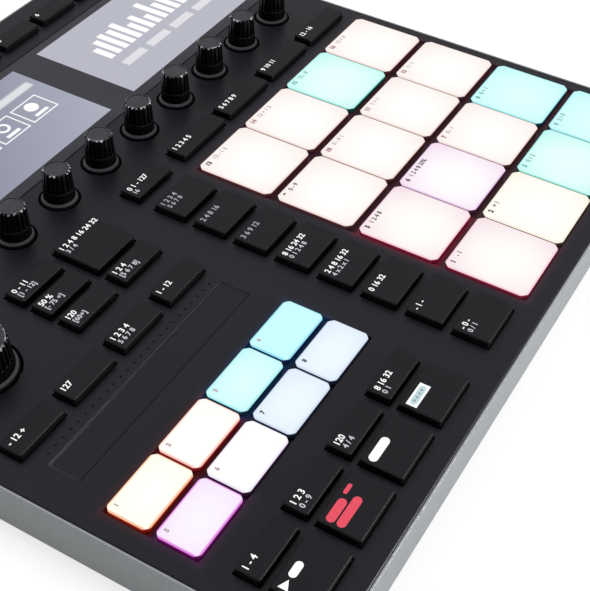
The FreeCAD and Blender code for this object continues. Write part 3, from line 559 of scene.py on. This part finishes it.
for number in range(1, 9):
    finishOf["knob_%d" % number] = knobFinish
for name, material in finishOf.items():
    dress(name, material)
print("nodes finished:", len(finishOf))


def glowing(name, colour, strength):
    shade = Shade(name)
    haze = shade.noise(700, 2)
    dim = tuple(0.8 * part for part in colour)
    return shade.finish({"Base Color": (0.02, 0.02, 0.02), "Roughness": 0.5,
                         "Emission Color": shade.mix(haze, dim, colour),
                         "Emission Strength": strength})


whiteGlow = glowing("legendWhite", (1, 1, 1), 1.15)
softGlow = glowing("legendSoft", (0.72, 0.73, 0.78), 0.85)
redGlow = glowing("legendRed", (0.88, 0.07, 0.12), 1.0)
tealGlow = glowing("legendTeal", srgb(196, 226, 228), 1.0)
dimGlow = glowing("legendDim", (0.46, 0.46, 0.5), 0.85)
padInk = glowing("padInk", srgb(92, 80, 82), 1.0)
faintInk = glowing("faintInk", srgb(196, 170, 172), 1.0)
blushInk = glowing("blushInk", srgb(170, 118, 126), 1.0)
seaInk = glowing("seaInk", srgb(112, 186, 184), 1.0)


# Lit legends: plain numbers and signs, one mesh for each bank

legendLook = {"size": 3.35, "second": 3.0, "inset": 1.7, "drop": 1.75, "lineStep": 3.15,
              "bold": 0.000075, "lift": 0.03}


def textMesh(text, size, bold):
    curve = bpy.data.curves.new("line", "FONT")
    curve.body = text
    curve.size = size * mm
    curve.offset = bold
    curve.resolution_u = 3
    holder = bpy.data.objects.new("line", curve)
    bpy.context.scene.collection.objects.link(holder)
    bpy.context.view_layer.update()
    depsgraph = bpy.context.evaluated_depsgraph_get()
    mesh = bpy.data.meshes.new_from_object(holder.evaluated_get(depsgraph))
    bpy.data.objects.remove(holder)
    return mesh


def addText(build, text, size, left, top, height, slot=0, bold=None):
    mesh = textMesh(text, size, legendLook["bold"] if bold is None else bold)
    high = max(vertex.co.y for vertex in mesh.vertices)
    low = min(vertex.co.x for vertex in mesh.vertices)
    before = len(build.faces)
    mesh.transform(Matrix.Translation(Vector((left * mm - low, top * mm - high, height * mm))))
    build.from_mesh(mesh)
    build.faces.ensure_lookup_table()
    for face in build.faces[before:]:
        face.material_index = slot
    bpy.data.meshes.remove(mesh)


def addShape(build, points, height, slot=0):
    corners = [build.verts.new((x * mm, y * mm, height * mm)) for x, y in points]
    face = build.faces.new(corners)
    face.material_index = slot
    return face


def disc(x, y, radius, steps):
    turns = [2 * math.pi * step / steps for step in range(steps)]
    return [(x + radius * math.cos(turn), y + radius * math.sin(turn)) for turn in turns]


def piece(name, build, materials, body):
    mesh = bpy.data.meshes.new(name)
    bmesh.ops.recalc_face_normals(build, faces=build.faces)
    for face in build.faces:
        if face.normal.z < 0:
            face.normal_flip()
    build.to_mesh(mesh)
    build.free()
    for material in materials:
        mesh.materials.append(material)
    made = bpy.data.objects.new(name, mesh)
    bpy.context.scene.collection.objects.link(made)
    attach(made, body)
    return made


print("legend tools ready")

# Where the keys stand, in millimetres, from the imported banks

keySize = {"mode": 31.6, "repeat": 21.7, "wide": 23.6, "short": 9.2, "square": 14.5, "tall": 16.0}


def middleX(name):
    low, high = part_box(name)
    return (low.x + high.x) / 2 / mm


rowsY = {"section": -0.65, "sectionStep": 18.75, "mode": 18.7, "edit": [19.1, 6.6, -5.9],
         "repeat": 12.85, "play": -25.9, "short": -116.6, "tall": -132.4, "upper": 134,
         "sideStep": 18.2}              # middles of the rows, from the case's middle
sectionX = -8.5
columnsX = [middleX("group_pad_%d" % number) for number in range(1, 5)]
padColumnsX = [middleX("pad_%d" % number) for number in range(13, 17)]
knobsX = [middleX("knob_%d" % number) for number in range(1, 9)]


def keysAt(xs, ys, wide, deep):
    return [(x - wide / 2, midY + y + deep / 2) for y in ys for x in xs]


wide, short, square, tall = (keySize[word] for word in ("wide", "short", "square", "tall"))
legends = {
    "keys_section": list(zip(
        keysAt([sectionX], [rowsY["section"] - rowsY["sectionStep"] * step for step in range(8)],
               wide, square),
        [("1 2 3 4", "5 6 7 8"), ("2 4 8 16", ""), ("3 6 9 12", ""), ("8 16 24 32", "0 1 2 4 8"),
         ("2 4 8 16 32", "4 x 2 x 1"), ("0 16 32", ""), ("- 1 -", ""), ("- 0 -", "0 / 1")])),
    "keys_mode": list(zip(
        keysAt([sectionX], [rowsY["mode"]], wide, short)
        + keysAt(padColumnsX, [rowsY["mode"]], keySize["mode"], short),
        [("0 1 - 127", "16"), ("1 2 3 4 5", ""), ("5 6 7 8 9", ""), ("9 10 11", ""), ("12 - 16", "")])),
    "keys_edit": list(zip(
        keysAt(columnsX[2:3], rowsY["edit"], wide, short)
        + keysAt(columnsX[3:], [rowsY["repeat"]], wide, keySize["repeat"])
        + keysAt(columnsX[3:], rowsY["edit"][-1:], wide, short),
        [("0 - 11", "[1 - 12]"), ("50 %", "[- 75 +]"), ("120", "[60+]"),
         ("1 2 4 8 16 24 32", "3 / 4"), ("1 2 4", "[5 6 7 8]")])),
    "keys_play": list(zip(
        keysAt(columnsX, [rowsY["play"]], wide, short),
        [("- 12 +", ""), ("127", ""), ("1 2 3 4", "5 6 7 8"), ("1 - 12", "")])),
    "keys_transport_short": list(zip(
        keysAt(columnsX, [rowsY["short"]], wide, short),
        [("1 - 4", ""), ("1 2 3", "0 - 9"), ("120", "4 / 4"), ("8 16 32", "0 1")])),
}
for bank, entries in legends.items():
    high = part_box(bank)[1]
    height = high.z / mm + legendLook["lift"]
    build = bmesh.new()
    for step, ((left, back), (first, second)) in enumerate(entries):
        x = left + legendLook["inset"]
        y = back - legendLook["drop"]
        dim = 2 if bank == "keys_section" and step < 3 else 0
        addText(build, first, legendLook["size"], x, y, height, dim)
        if second:
            addText(build, second, legendLook["second"], x, y - legendLook["lineStep"], height,
                    dim or 1)
    piece("legends_" + bank, build, [whiteGlow, softGlow, dimGlow], bank + "_body")
print("number legends set")


def pill(left, top, wide, deep, steps=8):   # outline of a bar with round ends
    radius = deep / 2
    out = []
    for middle, start in ((left + wide - radius, -90), (left + radius, 90)):
        for step in range(steps + 1):
            turn = math.radians(start + 180 * step / steps)
            out.append((middle + radius * math.cos(turn), top - radius + radius * math.sin(turn)))
    return out


def tallKeySigns():
    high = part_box("keys_transport_tall")[1]
    height = high.z / mm + legendLook["lift"]
    build = bmesh.new()
    starts = [(left + 1.3, back - 2.1) for left, back in keysAt(columnsX, [rowsY["tall"]], wide, tall)]
    x, y = starts[0]
    addShape(build, [(x, y), (x, y - 3.6), (x + 3.8, y - 1.8)], height)
    addShape(build, pill(x + 4.8, y - 0.4, 6.5, 2.8), height)
    x, y = starts[1]
    addShape(build, pill(x, y, 10.4, 3.2), height, 1)
    addShape(build, pill(x, y - 3.8, 13.6, 3.2), height, 1)
    addShape(build, pill(x + 12.2, y + 0.2, 4.6, 1.5), height, 1)
    x, y = starts[2]
    addShape(build, pill(x, y, 11.6, 3.3), height)
    x, y = starts[3]
    addShape(build, [(x, y), (x, y - 4.1), (x + 11.4, y - 4.1), (x + 11.4, y)], height)
    addShape(build, pill(x + 0.9, y - 0.8, 9.6, 2.5), height + 0.01, 2)
    for step in range(4):
        addShape(build, pill(x + 2.2 + 1.9 * step, y - 1.5, 1.1, 1.1), height + 0.02, 3)
    piece("legends_keys_transport_tall", build, [whiteGlow, redGlow, tealGlow, dimGlow],
          "keys_transport_tall_body")


def upperKeySigns():
    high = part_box("keys_screen")[1]
    height = high.z / mm + legendLook["lift"]
    backRow = midY + rowsY["upper"] + short / 2 - 1.8
    build = bmesh.new()
    for step, x in enumerate(knobsX):
        addText(build, str(step + 1), legendLook["size"], x - wide / 2 + legendLook["inset"],
                backRow, height)
    piece("legends_keys_screen", build, [whiteGlow], "keys_screen_body")
    build = bmesh.new()
    for column in range(2):
        for row in range(6):
            addText(build, str(1 + row * 2 + column), legendLook["size"],
                    columnsX[column] - wide / 2 + legendLook["inset"],
                    backRow - rowsY["sideStep"] * row, height)
    piece("legends_keys_side", build, [whiteGlow], "keys_side_body")


padMarks = {1: "- 1", 2: "+ 1", 3: "0 1 2", 4: "2 1 0", 5: "1 2 4 8", 6: "1 2 4 8 50%", 7: "0 - 1",
            8: "0 + 1", 9: "0 - 9", 10: "0 - 9 1", 11: "1 + 1", 12: "1 : 1", 13: "12 - 1 2",
            14: "12 + 1 2", 15: "12 - 8", 16: "12 + 8"}
darkMarks = (1, 2, 5, 6, 9)
padMarkLook = {"size": 2.9, "inset": 3.4, "drop": 1.4, "lift": 0.02, "bold": 0.0002,
               "markBold": 0.0001, "gap": 2.6, "digit": 1.5}
groupMarkLook = {"size": 2.3, "inset": 3.0, "drop": 1.7, "bold": 0.00016}


def padInks(number):                    # inks of a pad's number and of its mark
    if number in darkMarks:
        return [padInk, padInk]
    if padTints[number] in (mint, aqua):
        return [seaInk, seaInk]
    return [padInk if number == 13 else blushInk, faintInk]


def padNumbers():
    look, small = padMarkLook, groupMarkLook
    for number, mark in padMarks.items():
        name = "pad_%02d" % number
        low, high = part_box(name)
        build = bmesh.new()
        left, back = low.x / mm + look["inset"], high.y / mm - look["drop"]
        height = high.z / mm + look["lift"]
        addText(build, str(number), look["size"], left, back, height, bold=look["bold"])
        step = look["gap"] + look["digit"] * len(str(number))
        addText(build, mark, look["size"], left + step, back, height, 1, bold=look["markBold"])
        piece("number_" + name, build, padInks(number), name + "_body")
    for number in range(1, 9):
        name = "group_pad_%d" % number
        low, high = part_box(name)
        build = bmesh.new()
        addText(build, str(number), small["size"], low.x / mm + small["inset"],
                high.y / mm - small["drop"], high.z / mm + look["lift"], bold=small["bold"])
        piece("number_" + name, build, [padInk if number > 6 else faintInk], name + "_body")


tallKeySigns()
upperKeySigns()
padNumbers()
print("signs and pad numbers set")

# Light pipes in the row of small holes above the touch strip

pipeLook = {"count": 25, "first": -141.0, "step": 4.0, "y": midY - 35.6, "radius": 0.46,
            "drop": 0.25, "sides": 12,
            "profile": ((1.0, -1.2), (1.0, 0), (0.7, 0.12), (0.3, 0.17))}


def lightPipes():
    shade = Shade("lightPipe")
    haze = shade.noise(900, 2)
    material = shade.finish({"Base Color": shade.mix(haze, (0.008, 0.008, 0.011), (0.02, 0.02, 0.026)),
                             "Roughness": 0.5, "Specular IOR Level": 0.15})
    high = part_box("top_panel")[1]
    top = high.z / mm - pipeLook["drop"]
    sides = pipeLook["sides"]
    build = bmesh.new()
    for step in range(pipeLook["count"]):
        x = pipeLook["first"] + pipeLook["step"] * step
        rims = []
        for radius, height in pipeLook["profile"]:
            ring = [build.verts.new((px * mm, py * mm, (top + height) * mm))
                    for px, py in disc(x, pipeLook["y"], pipeLook["radius"] * radius, sides)]
            rims.append(ring)
        for lower, upper in zip(rims, rims[1:]):
            for n in range(sides):
                after = (n + 1) % sides
                build.faces.new((lower[n], lower[after], upper[after], upper[n]))
        build.faces.new(rims[-1])
    piece("strip_light_pipes", build, [material], "chassis")


lightPipes()
print("light pipes set")

# Camera, lamps and floor

cameraLook = {"place": (-0.33041, -0.22752 + midY * mm, 0.34619), "lens": 75.93,
              "right": (0.50376, -0.86322, 0.03268), "down": (-0.58217, -0.36721, -0.72542),
              "ahead": (0.6382, 0.34641, -0.68753)}


def setCamera():
    data = bpy.data.cameras.new("viewCamera")
    data.lens = cameraLook["lens"]
    data.sensor_width = 36
    data.clip_start = 0.01
    camera = bpy.data.objects.new("viewCamera", data)
    bpy.context.scene.collection.objects.link(camera)
    right, down, ahead = (Vector(cameraLook[word]) for word in ("right", "down", "ahead"))
    turn = Matrix((right, -down, -ahead)).transposed().to_4x4()
    camera.matrix_world = Matrix.Translation(Vector(cameraLook["place"])) @ turn
    bpy.context.scene.camera = camera


lamps = {"backSoft": ((0.15, 0.9, 1.25), (0, 0, 0), 1.1, 13),
         "frontSoft": ((0.45, -1.5, 0.2), (0.05, -0.15, 0), 0.7, 19)}    # place, aim, size, energy


def addLamp(name):
    place, aim, size, energy = lamps[name]
    data = bpy.data.lights.new(name, "AREA")
    data.shape = "DISK"
    data.size = size
    data.energy = energy
    lamp = bpy.data.objects.new(name, data)
    bpy.context.scene.collection.objects.link(lamp)
    lamp.location = place
    lamp.rotation_mode = "QUATERNION"
    lamp.rotation_quaternion = (Vector(aim) - Vector(place)).to_track_quat("-Z", "Y")
    return lamp


floorLook = {"half": 2.5, "z": -0.0002, "glow": (0.72, 0.72, 0.72)}


def addFloor():
    shade = Shade("paleFloor")
    paths = shade.node("ShaderNodeLightPath")
    seen = Val(shade, paths.outputs["Is Camera Ray"])
    grain = shade.noise(6, 2)
    white = shade.mix(grain, (0.5, 0.5, 0.5), (0.53, 0.53, 0.53))
    glow = shade.mix(seen, (0, 0, 0), floorLook["glow"])
    material = shade.finish({"Base Color": white, "Roughness": 0.9, "Emission Color": glow,
                             "Emission Strength": 1.0})
    build = bmesh.new()
    half = floorLook["half"]
    corners = [build.verts.new((x, y, floorLook["z"])) for x, y in
               ((-half, -half), (half, -half), (half, half), (-half, half))]
    build.faces.new(corners)
    mesh = bpy.data.meshes.new("floor")
    build.to_mesh(mesh)
    build.free()
    mesh.materials.append(material)
    floor = bpy.data.objects.new("floor", mesh)
    bpy.context.scene.collection.objects.link(floor)


worldLook = {"light": 0.4, "seenMore": 0.6}    # what the camera sees directly is brighter


def setWorld():
    world = bpy.data.worlds.new("softRoom")
    bpy.context.scene.world = world
    world.use_nodes = True
    tree = world.node_tree
    tree.nodes.clear()
    paths = tree.nodes.new("ShaderNodeLightPath")
    seen = tree.nodes.new("ShaderNodeMath")
    seen.operation = "MAXIMUM"
    tree.links.new(paths.outputs["Is Camera Ray"], seen.inputs[0])
    tree.links.new(paths.outputs["Is Transmission Ray"], seen.inputs[1])
    strength = tree.nodes.new("ShaderNodeMath")
    strength.operation = "MULTIPLY_ADD"
    tree.links.new(seen.outputs[0], strength.inputs[0])
    strength.inputs[1].default_value = worldLook["seenMore"]
    strength.inputs[2].default_value = worldLook["light"]
    back = tree.nodes.new("ShaderNodeBackground")
    back.inputs[0].default_value = (1, 1, 1, 1)
    tree.links.new(strength.outputs[0], back.inputs[1])
    output = tree.nodes.new("ShaderNodeOutputWorld")
    tree.links.new(back.outputs[0], output.inputs[0])


setCamera()
backLamp = addLamp("backSoft")
backLamp.visible_glossy = False         # it lights the dark plate but makes no sheen on it
addLamp("frontSoft")
addFloor()
setWorld()
bpy.context.scene.view_settings.view_transform = "Standard"
print("camera and lights set")
